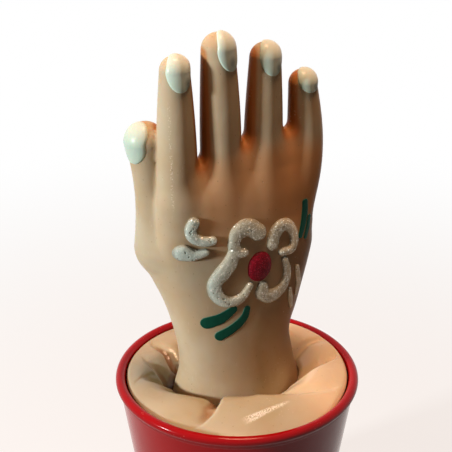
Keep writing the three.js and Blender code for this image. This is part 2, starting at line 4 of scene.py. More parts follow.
import bmesh
import bpy
import numpy as np
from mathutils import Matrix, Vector


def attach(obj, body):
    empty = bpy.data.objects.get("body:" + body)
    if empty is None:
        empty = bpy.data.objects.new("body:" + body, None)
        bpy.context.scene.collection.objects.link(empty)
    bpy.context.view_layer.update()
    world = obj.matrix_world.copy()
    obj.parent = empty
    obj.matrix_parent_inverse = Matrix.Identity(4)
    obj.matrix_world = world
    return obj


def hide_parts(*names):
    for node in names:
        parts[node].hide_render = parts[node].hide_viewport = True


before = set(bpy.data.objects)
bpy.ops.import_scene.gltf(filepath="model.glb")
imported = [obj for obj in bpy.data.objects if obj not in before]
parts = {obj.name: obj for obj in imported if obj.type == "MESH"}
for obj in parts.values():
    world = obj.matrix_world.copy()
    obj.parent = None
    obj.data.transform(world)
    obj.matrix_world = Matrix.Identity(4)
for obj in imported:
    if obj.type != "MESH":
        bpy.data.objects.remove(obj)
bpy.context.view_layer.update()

# The view: a camera on the thumb's side of the hand's back and above it, looking down, so that the pot's
# mouth shows as an open ellipse. Lengths are in metres and angles in degrees.
rim_height = 0.116
view_turn, view_rise, view_distance, view_lens = -22, 32, 0.558, 81.8
aim_above_rim, aim_aside = 0.0838, -0.00585


def outwards(turn, rise):
    """A direction away from the hand. The turn goes from the front towards the little finger."""
    turn, rise = math.radians(turn), math.radians(rise)
    return Vector((math.sin(turn) * math.cos(rise), -math.cos(turn) * math.cos(rise), math.sin(rise)))


def placed(name, data):
    """A new object in the scene."""
    made = bpy.data.objects.new(name, data)
    bpy.context.scene.collection.objects.link(made)
    return made


rim_middle = outwards(view_turn + 90, 0) * aim_aside + Vector((0, 0, rim_height))
aim = rim_middle + Vector((0, 0, aim_above_rim))
camera = placed("camera", bpy.data.cameras.new("camera"))
camera.location = rim_middle + outwards(view_turn, view_rise) * view_distance
camera.rotation_euler = (aim - camera.location).to_track_quat("-Z", "Y").to_euler()
camera.data.sensor_width, camera.data.lens = 36, view_lens
bpy.context.scene.camera = camera
bpy.context.scene.view_settings.view_transform = "Standard"

# The studio: a small cool lamp on the thumb's side, a little above the fingertips, throws each finger's
# shadow on the next one, and a warm lamp overhead lights the webs, the fingertips and the rolls in the pot.
# The floor and the sky are white to the camera and to reflections, and dim as light on the hand.
lamp_distance, floor_reach = 1.2, 6.0
lamps = {
    # Turn, rise, size, power and colour
    "lamp_left": (-86, 13, 0.12, 14, (0.95, 0.98, 1)),
    "lamp_overhead": (60, 88, 0.35, 15, (1, 0.6, 0.37)),
}
for name, (turn, rise, size, power, shade) in lamps.items():
    light = bpy.data.lights.new(name, "AREA")
    light.size, light.energy, light.color = size, power, shade
    away = outwards(turn, rise)
    lamp = placed(name, light)
    lamp.location = aim + away * lamp_distance
    lamp.rotation_euler = (-away).to_track_quat("-Z", "Y").to_euler()


def linear(shade):
    """A colour as it is read from a picture, 0 to 255, made linear."""
    levels = (level / 255 for level in shade)
    return (*(v / 12.92 if v <= 0.04045 else ((v + 0.055) / 1.055) ** 2.4 for v in levels), 1)


class Value:
    """One value in a node tree. Sums and products of values add their Math nodes."""

    def __init__(self, build, socket):
        self.build, self.socket = build, socket

    def join(self, operation, first, second=0.0):
        return self.build.add("ShaderNodeMath", {"operation": operation}, {0: first, 1: second})

    def __add__(self, other):
        return self.join("ADD", self, other)

    __radd__ = __add__

    def __sub__(self, other):
        return self.join("SUBTRACT", self, other)

    def __rsub__(self, other):
        return self.join("SUBTRACT", other, self)

    def __mul__(self, other):
        return self.join("MULTIPLY", self, other)

    def __truediv__(self, other):
        return self.join("DIVIDE", self, other)

    def __abs__(self):
        return self.join("ABSOLUTE", self)

    def most(self, other):
        return self.join("MAXIMUM", self, other)

    def step(self, low, high):
        """0 below low and 1 above high, with a smooth rise between."""
        return self.build.add(
            "ShaderNodeMapRange", {"interpolation_type": "SMOOTHSTEP"},
            {"Value": self, "From Min": low, "From Max": high})

    def band(self, low, full, fading, high):
        """1 between full and fading, with a smooth rise from low and a fall to high."""
        return self.step(low, full) * (1 - self.step(fading, high))


class Build:
    """A node tree as it is put together."""

    def __init__(self, tree):
        self.tree = tree
        tree.nodes.clear()

    def add(self, kind, settings=(), sockets=(), output=0):
        """Any node: its type, its settings, and the values or links of its sockets."""
        node = self.tree.nodes.new(kind)
        for key, value in dict(settings).items():
            setattr(node, key, value)
        for key, value in dict(sockets).items():
            if isinstance(value, Value):
                self.tree.links.new(value.socket, node.inputs[key])
            else:
                node.inputs[key].default_value = value
        return Value(self, node.outputs[output]) if node.outputs else None


class Finish(Build):
    """A material, or the sky."""

    def __init__(self, name, made_in=bpy.data.materials):
        self.material = made_in.new(name)
        self.material.use_nodes = True
        super().__init__(self.material.node_tree)

    def places(self, stretch=(1, 1, 1)):
        """Object coordinates in millimetres, squeezed or drawn out along each axis."""
        where = self.add("ShaderNodeTexCoord", output="Object")
        return self.add("ShaderNodeMapping", {}, {"Vector": where, "Scale": [1000 * s for s in stretch]})

    def noise(self, size, stretch=(1, 1, 1), detail=2.0, roughness=0.5):
        """Cloudy variation round 0.5, with patches of about this size in millimetres."""
        return self.add("ShaderNodeTexNoise", {}, {
            "Vector": self.places(stretch), "Scale": 1 / size, "Detail": detail, "Roughness": roughness})

    def dots(self, size):
        """Distance to scattered points that lie about this many millimetres apart."""
        return self.add("ShaderNodeTexVoronoi", {}, {
            "Vector": self.places(), "Scale": 1 / size, "Randomness": 1.0}, "Distance")

    def mark(self, name):
        """A number that the mesh carries at its corners."""
        return self.add("ShaderNodeAttribute", {"attribute_name": name}, output="Fac")

    def along(self, axis):
        """The place along X, Y or Z in millimetres."""
        return self.add("ShaderNodeSeparateXYZ", {}, {"Vector": self.places()}, axis)

    def mix(self, factor, *pair):
        """Blends two colours, each either read from a picture as 0 to 255 or mixed before."""
        first, second = (linear(shade) if isinstance(shade, tuple) else shade for shade in pair)
        return self.add("ShaderNodeMix", {"data_type": "RGBA"}, {0: factor, 6: first, 7: second}, 2)

    def bump(self, height, depth):
        """A relief: depth is in millimetres for a height of one."""
        return self.add("ShaderNodeBump", {}, {"Height": height, "Distance": depth / 1000, "Strength": 1.0})

    def surface(self, sockets):
        """Ends the material in a Principled surface."""
        shown = self.add("ShaderNodeBsdfPrincipled", {}, sockets)
        self.add("ShaderNodeOutputMaterial", {}, {"Surface": shown})

    def twofold(self, output, dim, white):
        """Ends in white for the camera and for reflections, and in dim where it lights the hand."""
        seen = self.add("ShaderNodeLightPath", output="Is Camera Ray")
        for ray in ("Is Glossy Ray", "Is Transmission Ray"):
            seen = seen.most(self.add("ShaderNodeLightPath", output=ray))
        self.add(output, {}, {"Surface": self.add("ShaderNodeMixShader", {}, {0: seen, 1: dim, 2: white})})


floor_white = Finish("floor_white")
from_middle = floor_white.add(
    "ShaderNodeVectorMath", {"operation": "LENGTH"}, {0: floor_white.places()}, "Value")
floor_dim = floor_white.add("ShaderNodeBsdfDiffuse", {}, {"Color": (0.16, 0.15, 0.14, 1)})
floor_shadowed = floor_white.add("ShaderNodeBsdfDiffuse", {}, {"Color": (0.8, 0.8, 0.8, 1)})
floor_bright = floor_white.add("ShaderNodeEmission", {}, {"Strength": 1.0})
floor_pale = floor_white.add("ShaderNodeMixShader", {}, {
    0: from_middle.step(120, 700) * 0.3 + 0.7, 1: floor_shadowed, 2: floor_bright})
floor_white.twofold("ShaderNodeOutputMaterial", floor_dim, floor_pale)
floor_mesh = bpy.data.meshes.new("floor")
floor_corners = [(x * floor_reach, y * floor_reach, 0) for x, y in ((-1, -1), (1, -1), (1, 1), (-1, 1))]
floor_mesh.from_pydata(floor_corners, [], [(0, 1, 2, 3)])
floor_mesh.materials.append(floor_white.material)
floor = placed("floor", floor_mesh)

sky = Finish("surroundings", bpy.data.worlds)
sky_dim = sky.add("ShaderNodeBackground", {}, {"Color": (1, 0.7, 0.5, 1), "Strength": 0.05})
sky_white = sky.add("ShaderNodeBackground", {}, {"Color": (1, 1, 1, 1)})
sky.twofold("ShaderNodeOutputWorld", sky_dim, sky_white)
bpy.context.scene.world = sky.material

# The pot: a round moulded pot in deep red gloss plastic, tapered, with a thick rounded lip that overhangs
# its wall and four low feet under its floor. It is turned from one profile, given in millimetres.
pot_top, lip_radius, lip_bead, lip_overhang = 116.0, 65.0, 2.6, 2.0
pot_wall, pot_foot_radius, pot_base, pot_floor = 2.8, 47.0, 2.5, 6.0
pot_low_round, pot_neck_round, pot_floor_round = 2.2, 1.0, 3.0
pot_wall_top = pot_top - 2 * lip_bead
foot_pad, foot_circle, foot_bevel, foot_sunk = 12.0, 37.0, 0.8, 1.0
pot_turns = 192


def pot_outer(z):
    """The radius of the pot's tapered wall at a height."""
    return pot_foot_radius + (lip_radius - lip_overhang - pot_foot_radius) * z / pot_wall_top


def arc(centre_radius, centre_height, radius, start, end, count):
    """Points round part of a circle, for a profile's rounded corner or lip."""
    angles = np.radians(np.linspace(start, end, count))
    return [(centre_radius + radius * math.cos(a), centre_height + radius * math.sin(a)) for a in angles]


lip_centre = (lip_radius - lip_bead, pot_top - lip_bead)
pot_profile = [
    (0, pot_base),
    (20, pot_base),
    *arc(pot_outer(pot_base) - pot_low_round, pot_base + pot_low_round, pot_low_round, -90, -8, 7),
    (pot_outer(40), 40),
    (pot_outer(80), 80),
    (pot_outer(pot_wall_top - 3.4), pot_wall_top - 3.4),
    *arc(pot_outer(pot_wall_top - 1.5) + pot_neck_round, pot_wall_top - 2, pot_neck_round, 180, 110, 5),
    *arc(*lip_centre, lip_bead, -72, 20, 9),
    *arc(*lip_centre, lip_bead, 34, 200, 15),
    (pot_outer(100) - pot_wall, 100),
    (pot_outer(60) - pot_wall, 60),
    *arc(pot_outer(pot_floor) - pot_wall - pot_floor_round, pot_floor + pot_floor_round, pot_floor_round,
         0, -90, 7),
    (20, pot_floor),
    (0, pot_floor),
]


class Growth(Build):
    """A Geometry Nodes tree that makes a mesh from a starting mesh and from named inputs."""

    def __init__(self, name, inputs):
        super().__init__(bpy.data.node_groups.new(name, "GeometryNodeTree"))
        for key, kind in inputs.items():
            self.tree.interface.new_socket(key, in_out="INPUT", socket_type=f"NodeSocket{kind}")
        self.tree.interface.new_socket("Made", in_out="OUTPUT", socket_type="NodeSocketGeometry")
        self.given = {key: self.add("NodeGroupInput", output=key) for key in inputs}

    def end(self, geometry):
        """Ends the tree in plain faces with their finish."""
        real = self.add("GeometryNodeRealizeInstances", {}, {"Geometry": geometry})
        painted = self.add("GeometryNodeSetMaterial", {}, {
            "Geometry": real, "Material": self.given["Finish"]})
        self.add("NodeGroupOutput", {}, {"Made": painted})


def turning_tree(name):
    """Turns the profile that it is given round the upright axis."""
    build = Growth(name, {"Profile": "Geometry", "Turns": "Int", "Finish": "Material"})
    add, given = build.add, build.given

    def whole(operation, first, second):
        return add("FunctionNodeIntegerMath", {"operation": operation}, {0: first, 1: second})

    count = add("GeometryNodeAttributeDomainSize", {}, {"Geometry": given["Profile"]}, "Point Count")
    across = whole("ADD", given["Turns"], 1)
    grid = add("GeometryNodeMeshGrid", {}, {"Vertices X": count, "Vertices Y": across}, "Mesh")
    index = add("GeometryNodeInputIndex")
    sampled = add("GeometryNodeSampleIndex", {"data_type": "FLOAT_VECTOR"}, {
        "Geometry": given["Profile"], "Value": add("GeometryNodeInputPosition"),
        "Index": whole("DIVIDE_FLOOR", index, across)})
    angle = whole("MODULO", index, across) / given["Turns"] * (2 * math.pi)
    turned = add("ShaderNodeVectorRotate", {"rotation_type": "Z_AXIS"}, {"Vector": sampled, "Angle": angle})
    moved = add("GeometryNodeSetPosition", {}, {"Geometry": grid, "Position": turned})
    closed = add("GeometryNodeMergeByDistance", {}, {"Geometry": moved, "Distance": 1e-6})
    build.end(add("GeometryNodeSetShadeSmooth", {}, {"Geometry": closed}))
    return build.tree


def settled(piece):
    """The mesh that a piece's modifiers make."""
    return bpy.data.meshes.new_from_object(piece.evaluated_get(bpy.context.evaluated_depsgraph_get()))


def grown(name, start_mesh, tree, inputs):
    """Runs a tree on a starting mesh and returns the outcome as a plain mesh piece."""
    start = placed(f"{name}_start", start_mesh)
    modifier = start.modifiers.new("tree", "NODES")
    modifier.node_group = tree
    for item in tree.interface.items_tree:
        if item.in_out == "INPUT" and item.name in inputs:
            modifier[item.identifier] = inputs[item.name]
    bpy.context.view_layer.update()
    made = settled(start)
    made.name = name
    bpy.data.objects.remove(start)
    return placed(name, made)


def faced_out(mesh):
    """Closes doubled corners and turns every face outwards."""
    shape = bmesh.new()
    shape.from_mesh(mesh)
    bmesh.ops.remove_doubles(shape, verts=shape.verts, dist=1e-6)
    bmesh.ops.recalc_face_normals(shape, faces=shape.faces)
    shape.to_mesh(mesh)
    shape.free()


red_gloss = Finish("red_gloss")
on_lip = red_gloss.along("Z").step(pot_top - 6, pot_top - 4.5)
scuffs = (0.16 - red_gloss.dots(1.9)).step(0, 0.05) * red_gloss.noise(9).step(0.5, 0.62)
lip_scuffs = scuffs * on_lip * 0.6
scratches = red_gloss.noise(1.2, (1, 1, 0.08), 3).step(0.62, 0.72) * 0.35
red_gloss.surface({
    "Base Color": red_gloss.mix(
        lip_scuffs,
        red_gloss.mix(red_gloss.noise(30), (174, 0, 6), (150, 0, 6)),
        (225, 120, 110)),
    "Roughness": 0.14 + scratches * 0.2 + lip_scuffs * 0.3,
    "Specular IOR Level": 0.13,
    "Normal": red_gloss.bump(red_gloss.noise(14, detail=1) * 0.9 + red_gloss.noise(0.8) * 0.05, 0.12),
})
profile_mesh = bpy.data.meshes.new("pot_profile")
profile_mesh.from_pydata([(r / 1000, 0, z / 1000) for r, z in pot_profile],
                         [(i, i + 1) for i in range(len(pot_profile) - 1)], [])
pot = grown("pot_shell", profile_mesh, turning_tree("pot_turning"), {
    "Turns": pot_turns, "Finish": red_gloss.material})
pot_shape = bmesh.new()
pot_shape.from_mesh(pot.data)
for quarter in range(4):
    angle, foot_height = quarter * math.pi / 2, pot_base + foot_sunk
    pad = bmesh.ops.create_cube(pot_shape, size=1)["verts"]
    bmesh.ops.scale(pot_shape, vec=Vector((foot_pad, foot_pad, foot_height)) / 1000, verts=pad)
    spot = Vector((foot_circle * math.cos(angle), foot_circle * math.sin(angle), foot_height / 2)) / 1000
    bmesh.ops.translate(pot_shape, vec=spot, verts=pad)
    edges = {edge for vert in pad for edge in vert.link_edges}
    bmesh.ops.bevel(pot_shape, geom=list(edges), offset=foot_bevel / 1000, segments=2, affect="EDGES")
pot_shape.to_mesh(pot.data)
pot_shape.free()
faced_out(pot.data)
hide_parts("pot")
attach(pot, "pot_body")

# The works inside the pot, which the glove hides: a plaster plug cast in the pot, a planed wooden post
# pushed into it, and the foam core that fills the glove. They keep their own shapes.
plaster = Finish("cast_plaster")
plaster_pores = (0.2 - plaster.dots(3.1)).step(0, 0.08)
plaster.surface({
    "Base Color": plaster.mix(plaster.noise(12, detail=4), (222, 216, 203), (196, 189, 176)),
    "Roughness": 0.82 + plaster.noise(5) * 0.12,
    "Normal": plaster.bump(plaster.noise(2.5, detail=4) * 0.4 - plaster_pores * 0.5, 0.5),
})
beech = Finish("planed_beech")
rings = beech.noise(2.2, (1, 1, 0.05), 4, 0.6)
flecks = beech.noise(0.7, (1, 1, 0.12)).step(0.62, 0.7)
beech.surface({
    "Base Color": beech.mix(rings, (206, 166, 118), (160, 115, 70)),
    "Roughness": 0.5 + rings * 0.2,
    "Normal": beech.bump(rings * 0.6 + flecks * 0.4, 0.25),
})
core_foam = Finish("core_foam")
cells = core_foam.dots(0.9)
core_foam.surface({
    "Base Color": core_foam.mix(core_foam.noise(16, detail=3), (233, 223, 200), (212, 196, 166)),
    "Roughness": 0.9 - cells * 0.1,
    "Normal": core_foam.bump(cells, 0.35),
})
for node, finish in (("ballast", plaster), ("support_post", beech), ("hand_former", core_foam)):
    parts[node].data.materials.clear()
    parts[node].data.materials.append(finish.material)

# The glove: one seamless skin of flesh-coloured rubber, moulded with webs between the fingers and drawn
# smooth over the core. Its form is a field that is negative inside, in millimetres with heights above the
# rim. The palm's sections give its edges at each height.
palm_heights = np.array([-60, -12, 4, 24, 42, 66, 92, 116.0])
palm_left = np.array([-38, -34.5, -30.5, -32, -32.8, -38, -41.4, -41.4])
palm_right = np.array([39.5, 37.2, 33, 29.8, 33, 37.4, 38.2, 43.4])
palm_front = np.array([-22, -20, -18.5, -17, -15.8, -14.5, -12.4, -9.4])
palm_back = np.array([29, 27.5, 25.5, 23, 21.5, 20, 17, 13.5])
palm_squareness = np.array([2, 2, 2.1, 2.2, 2.4, 2.6, 2.8, 3])
crest_height, crest_slope, crest_start = 127.3, 0.29, 100.0
# Each digit: its root, root radius, tip, tip radius, and the swell and bow between
digits = {
    "index": ((-31.3, 1, 84), 9.7, (-31.4, 1.5, 167), 7.3, 1.4, 0.1),
    "middle": ((-9.2, 0.6, 84), 8.5, (-9.8, 1.5, 175.2), 8.1, 1.8, 0.8),
    "ring": ((13, 0.6, 84), 9.2, (14.5, 1.5, 168.9), 7.7, 1.3, 0),
    "little": ((32.6, 1, 84), 8, (34.8, 1.5, 154.2), 7.1, 1.8, 3),
    "thumb": ((-36.6, 13, 74), 13.6, (-43.4, 11.6, 131), 9.8, -2.9, -0.4),
}
thumb_mound = ((-19.4, 11, 42), 12.6, (-33, 13, 70), 13.6)
palm_heel = ((20, 10, 40), 13, (28, 8, 72), 13.5)
mound_blend, thumb_blend, web_blend, between_blend = 14.0, 4.0, 5.0, 3.0
glove_low_edge, glove_wall, glove_step = -36.0, 1.2, 1.25
# The painted highlights at the webs, across and up from the rim, and the dotted painted highlight down the
# index finger
web_glints = ((-19.8, 124.5), (0.9, 130.8), (24.8, 133.4))
index_glint_across, index_glint_up = -36.9, (96, 104, 148, 156)
# The cuff's front roll, where a highlight is painted: its direction in plan and its distance from the pot's
# axis
roll_across, roll_depth, roll_distance = 0.977, 0.212, 41.4


def section(z, values):
    """A smooth value through the palm's sections."""
    last = len(values) - 1
    z = np.clip(z, palm_heights[0], palm_heights[last])
    i = np.clip(np.searchsorted(palm_heights, z, side="right") - 1, 0, last - 1)
    wide, apart = (np.pad(row, 1, "edge") for row in (values, palm_heights))
    slope = (wide[2:] - wide[:-2]) / (apart[2:] - apart[:-2])
    span = palm_heights[i + 1] - palm_heights[i]
    t = (z - palm_heights[i]) / span
    rise = 3 * t**2 - 2 * t**3
    return ((1 - rise) * values[i] + (t**3 - 2 * t**2 + t) * span * slope[i]
            + rise * values[i + 1] + (t**3 - t**2) * span * slope[i + 1])


def smooth_union(a, b, reach):
    """The nearer of two surfaces, flowing into each other within the reach."""
    overlap = np.maximum(reach - np.abs(a - b), 0) / reach
    return np.minimum(a, b) - overlap * overlap * reach / 4


def palm_distance(x, y, z):
    """The palm and the wrist: rounded sections under a sloping crest."""
    left, right = section(z, palm_left), section(z, palm_right)
    front, back = section(z, palm_front), section(z, palm_back)
    power = section(z, palm_squareness)
    half_width, half_depth = (right - left) / 2, (back - front) / 2
    crest = crest_height + crest_slope * x - crest_start
    u = np.abs(x - (left + right) / 2) / half_width
    v = np.abs(y - (front + back) / 2) / half_depth
    rise = np.maximum(z - crest_start, 0) / crest
    rho = (u**power + v**power + rise**2) ** (1 / power)
    steep = np.sqrt((u ** (power - 1) / half_width) ** 2 + (v ** (power - 1) / half_depth) ** 2
                    + (2 * rise / crest / power) ** 2)
    gradient = steep / np.maximum(rho, 1e-6) ** (power - 1) + 1e-6
    return np.maximum((rho - 1) / gradient, -half_width)


def digit_distance(x, y, z, digit):
    """A finger or the thumb: an upright rod that swells and bows, with round ends."""
    root, root_radius, tip, tip_radius, swell, bow = digit
    t = np.clip((z - root[2]) / (tip[2] - root[2]), 0, 1)
    bulge = np.sin(np.pi * t)
    centre_x = root[0] + (tip[0] - root[0]) * t + bow * bulge
    centre_y = root[1] + (tip[1] - root[1]) * t
    radius = root_radius + (tip_radius - root_radius) * t + swell * bulge
    past = np.maximum(z - tip[2], 0) + np.maximum(root[2] - z, 0)
    return np.sqrt((x - centre_x) ** 2 + (y - centre_y) ** 2 + past**2) - radius


def mound_distance(points, mound):
    """A swelling of the palm: a round cone between two balls."""
    start, end = np.array(mound[0], float), np.array(mound[2], float)
    axis = end - start
    t = np.clip((points - start) @ axis / (axis @ axis), 0, 1)
    away = np.linalg.norm(points - start - t[..., None] * axis, axis=-1)
    return away - (mound[1] + (mound[3] - mound[1]) * t)


def hand_distance(points):
    """The whole hand: how far outside its skin a place lies."""
    x, y, z = np.moveaxis(points, -1, 0)
    body = smooth_union(palm_distance(x, y, z), mound_distance(points, palm_heel), mound_blend)
    body = smooth_union(body, mound_distance(points, thumb_mound), mound_blend)
    with_thumb = smooth_union(body, digit_distance(x, y, z, digits["thumb"]), thumb_blend)
    fingers = digit_distance(x, y, z, digits["index"])
    for name in ("middle", "ring", "little"):
        fingers = smooth_union(fingers, digit_distance(x, y, z, digits[name]), between_blend)
    return np.minimum(with_thumb, smooth_union(body, fingers, web_blend))


def skin_at(place_of, low, high):
    """How far out the hand's skin lies, by halving between a distance inside it and one outside."""
    for _ in range(18):
        middle = (low + high) / 2
        out = hand_distance(place_of(middle)) > 0
        low, high = np.where(out, low, middle), np.where(out, middle, high)
    return low


def slope_of(field, points, reach=0.05):
    """The direction in which the field grows, and how fast."""
    steps = np.eye(3) * reach
    return np.stack([field(points + s) - field(points - s) for s in steps], -1) / (2 * reach)


def skinned(field, low, high, step):
    """The skin of the solid where the field is negative: a corner in each cell it crosses, drawn onto it."""
    axes = [np.arange(a, b + step, step) for a, b in zip(low, high)]
    grid = np.stack(np.meshgrid(*axes, indexing="ij"), -1)
    value = field(grid)
    inside = value < 0
    cells_shape = tuple(n - 1 for n in value.shape)

    def near(array, offset):
        return array[tuple(slice(o, o + n) for o, n in zip(offset, cells_shape))]

    count = sum(near(inside, offset).astype(int) for offset in itertools.product((0, 1), repeat=3))
    crossed = (count > 0) & (count < 8)
    total, hits = np.zeros((crossed.sum(), 3)), np.zeros(crossed.sum())
    for axis in range(3):
        for pair in itertools.product((0, 1), repeat=2):
            start, end = (pair[:axis] + (side,) + pair[axis:] for side in (0, 1))
            a, b = near(value, start)[crossed], near(value, end)[crossed]
            cut = (a < 0) != (b < 0)
            share = np.where(cut, a / np.where(cut, a - b, 1), 0)
            point = near(grid, start)[crossed].copy()
            point[:, axis] += share * step
            total[cut] += point[cut]
            hits += cut
    points = total / hits[:, None]
    for _ in range(3):
        slope = slope_of(field, points)
        move = -slope * (field(points) / np.maximum((slope**2).sum(-1), 1e-6))[:, None]
        length = np.linalg.norm(move, axis=1, keepdims=True)
        points += move * np.minimum(1, 0.5 * step / np.maximum(length, 1e-9))
    number = np.full(cells_shape, -1)
    number[crossed] = np.arange(len(points))
    faces = []
    for axis in range(3):
        second, third = (axis + 1) % 3, (axis + 2) % 3
        change = np.diff(inside.astype(int), axis=axis)
        spots = np.argwhere(change != 0)
        across, room = spots[:, [second, third]], np.array(cells_shape)[[second, third]]
        spots = spots[((across > 0) & (across < room)).all(1)]
        sign = change[tuple(spots.T)]
        back, down = np.eye(3, dtype=int)[[second, third]]
        around = (spots, spots - back, spots - back - down, spots - down)
        quads = np.stack([number[tuple(cell.T)] for cell in around], 1)
        faces.append(np.where(sign[:, None] < 0, quads, quads[:, ::-1]))
    return points, np.concatenate(faces)


def piece_of(name, points, faces, finish, marks=()):
    """A smooth mesh piece from points in millimetres above the rim, with named numbers at its corners."""
    mesh = bpy.data.meshes.new(name)
    place = (points + np.array([0, 0, pot_top])) / 1000
    mesh.from_pydata(place.tolist(), [], faces.tolist())
    for mark, values in dict(marks).items():
        mesh.attributes.new(mark, "FLOAT", "POINT").data.foreach_set("value", np.asarray(values, np.float32))
    mesh.materials.append(finish.material)
    mesh.shade_smooth()
    return placed(name, mesh)


def thickened(piece, thickness):
    """Gives an open skin its wall, inwards."""
    wall = piece.modifiers.new("wall", "SOLIDIFY")
    wall.thickness, wall.offset = thickness / 1000, -1
    wall.use_rim = True
    made = settled(piece)
    made.name = piece.data.name
    piece.modifiers.clear()
    piece.data = made


def nook_of(field, points, reaches=(3, 7, 14)):
    """How far a place is closed in by the surfaces round it, from 0 in the open to 1 in a crease, for painted
    shade.
    """
    slope = slope_of(field, points)
    out = slope / np.linalg.norm(slope, axis=1, keepdims=True)
    closed = [np.clip(1 - field(points + out * reach) / reach, 0, 1) for reach in reaches]
    return np.mean(closed, axis=0)


def rubber(name, pale, warm, far, closed, deep, gloss, sheen, wet):
    """Flesh-coloured rubber with fine scratches, dust and pinholes, and painted shade and light.

    It is pale with warm blotches. Far is painted on the little finger's side of the wrist and the cuff, as
    painted shade on the glove and painted light on the cuff. Closed and deep are the brown painted shade of
    its creases and hollows. The knuckles get painted warm light, and its painted highlights are in its
    colour.
    """
    skin = Finish(name)
    across, depth, up = skin.along("X"), skin.along("Y"), skin.along("Z") - pot_top
    forward = 0 - depth
    crease_shade = skin.mark("crease_shade") * across.step(-46, -31)
    blotches = skin.noise(26, detail=3)
    dust = (0.19 - skin.dots(1.7)).step(0, 0.05) * skin.noise(16).step(0.52, 0.66) * across.step(-12, 12)
    scratches = skin.noise(0.5, (1, 1, 0.1), 2).step(0.66, 0.74) * skin.noise(20).step(0.5, 0.62)
    pinholes = (0.1 - skin.dots(3.7)).step(0, 0.03)
    # Painted light: a warm orange glow on the back of the hand just below the knuckles, stronger towards the
    # little finger.
    knuckle_light = across.step(-36, -14) * up.band(70, 98, 118, 134) * forward.step(0, 6)
    knuckle_light = knuckle_light * (across.step(0, 30) * 0.35 + 0.5)
    # The little finger's side of the wrist and cuff takes the far colour: painted shade on the glove, painted
    # light on the cuff.
    painted_far_side = across.step(4, 36) * (1 - up.step(74, 104))
    body = skin.mix(blotches.step(0.3, 0.7), pale, warm)
    body = skin.mix(painted_far_side, body, far)
    body = skin.mix(knuckle_light, body, (232, 168, 112))
    # Painted shade: brown where the skin is closed in, in creases and between the fingers, darker deeper in.
    body = skin.mix(crease_shade.step(0.09, 0.42), body, closed)
    body = skin.mix(crease_shade.step(0.45, 0.85), body, deep)

    # Painted highlights: pale dots down the index finger and small pale spots at the webs.
    glints = (0.7 - abs(across - index_glint_across)).step(0, 0.4) * forward.step(0, 2)
    glints = glints * (0.42 - skin.dots(0.9)).step(0, 0.1) * up.band(*index_glint_up)
    for web_across, web_up in web_glints:
        aside, above = across - web_across, up - web_up
        web_highlight = (1.3 - aside * aside - above * above).step(0, 1) * forward.step(-7, -5)
        glints = glints.most(web_highlight)
    # Painted highlight: a pale streak along the cuff's front roll, broken up by noise.
    along_roll = across * roll_across + depth * roll_depth
    off_roll = abs(depth * roll_across - across * roll_depth + roll_distance)
    roll_highlight = along_roll.band(-26, -19, -2, 6) * (1.6 - off_roll - along_roll * 0.06).step(0, 1.6)
    roll_highlight = roll_highlight * skin.noise(0.6).step(0.4, 0.5)
    # Real dust and scratches lighten the colour, and so do the painted highlights.
    body = skin.mix(dust * 0.6 + scratches * 0.3 + glints * 0.6, body, (240, 226, 200))
    body = skin.mix(roll_highlight * 0.9, body, (255, 250, 238))
    ripples = skin.noise(7, detail=1) * 0.5 + skin.noise(0.9) * 0.07
    skin.surface({
        "Base Color": skin.mix(pinholes * 0.3, body, (120, 84, 52)),
        "Roughness": gloss + dust * 0.2 + blotches * 0.06,
        "Specular IOR Level": sheen,
        "Coat Weight": wet,
        "Coat Roughness": 0.12,
        "Subsurface Weight": 0.25,
        "Subsurface Radius": (1.0, 0.36, 0.14),
        "Subsurface Scale": 0.003,
        "Normal": skin.bump(ripples - pinholes * 0.1 - scratches * 0.03, 0.2),
    })
    return skin


# The far colour darkens the wrist's little-finger side as painted shade.
glove_rubber = rubber(
    "glove_rubber", (206, 190, 160), (198, 173, 138), (172, 138, 104),
    (186, 126, 78), (160, 104, 54), 0.3, 0.04, 0)
glove_points, glove_faces = skinned(hand_distance, (-60, -26, glove_low_edge), (50, 34, 187), glove_step)
# The glove's corners carry how closed in they are, for its painted crease shade.
glove = piece_of("glove_skin_moulded", glove_points, glove_faces, glove_rubber,
                 {"crease_shade": nook_of(hand_distance, glove_points)})
thickened(glove, glove_wall)
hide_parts("glove_skin")
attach(glove, "hand_body")

# The cuff: the glove's spare length, pushed down round the wrist so that the rubber bunches into thick soft
# rolls between the wrist and the pot's wall. Deep creases run across the rolls.
#
# Stations round the pot: degrees from the front towards the little finger, height at the wrist, the crest's
# share of the way out, its height, and height at the wall
cuff_stations = [
    (-180, -8, 0.55, -0.8, -1.8),
    (-140, -8, 0.62, -0.8, -1.2),
    (-112, -8, 0.72, -0.4, -1.0),
    (-92, -7, 0.62, 0.4, -1.2),
    (-66, -4.5, 0.42, 0.8, -2.2),
    (-46, -3.5, 0.38, -0.6, -4.0),
    (-34, -3, 0.3, 1.2, -4.6),
    (0, -4.5, 0.3, 1.0, -5.4),
    (26, -9.5, 0.44, 0.6, -4.2),
    (46, -9, 0.5, 1.4, -1.6),
    (68, -6, 0.5, 1.4, -0.6),
    (95, -6, 0.6, 1.0, 0.2),
    (120, -6, 0.6, 1.0, 0.2),
    (150, -7, 0.55, 0.0, -1.2),
    (180, -8, 0.55, -0.8, -1.8),
]
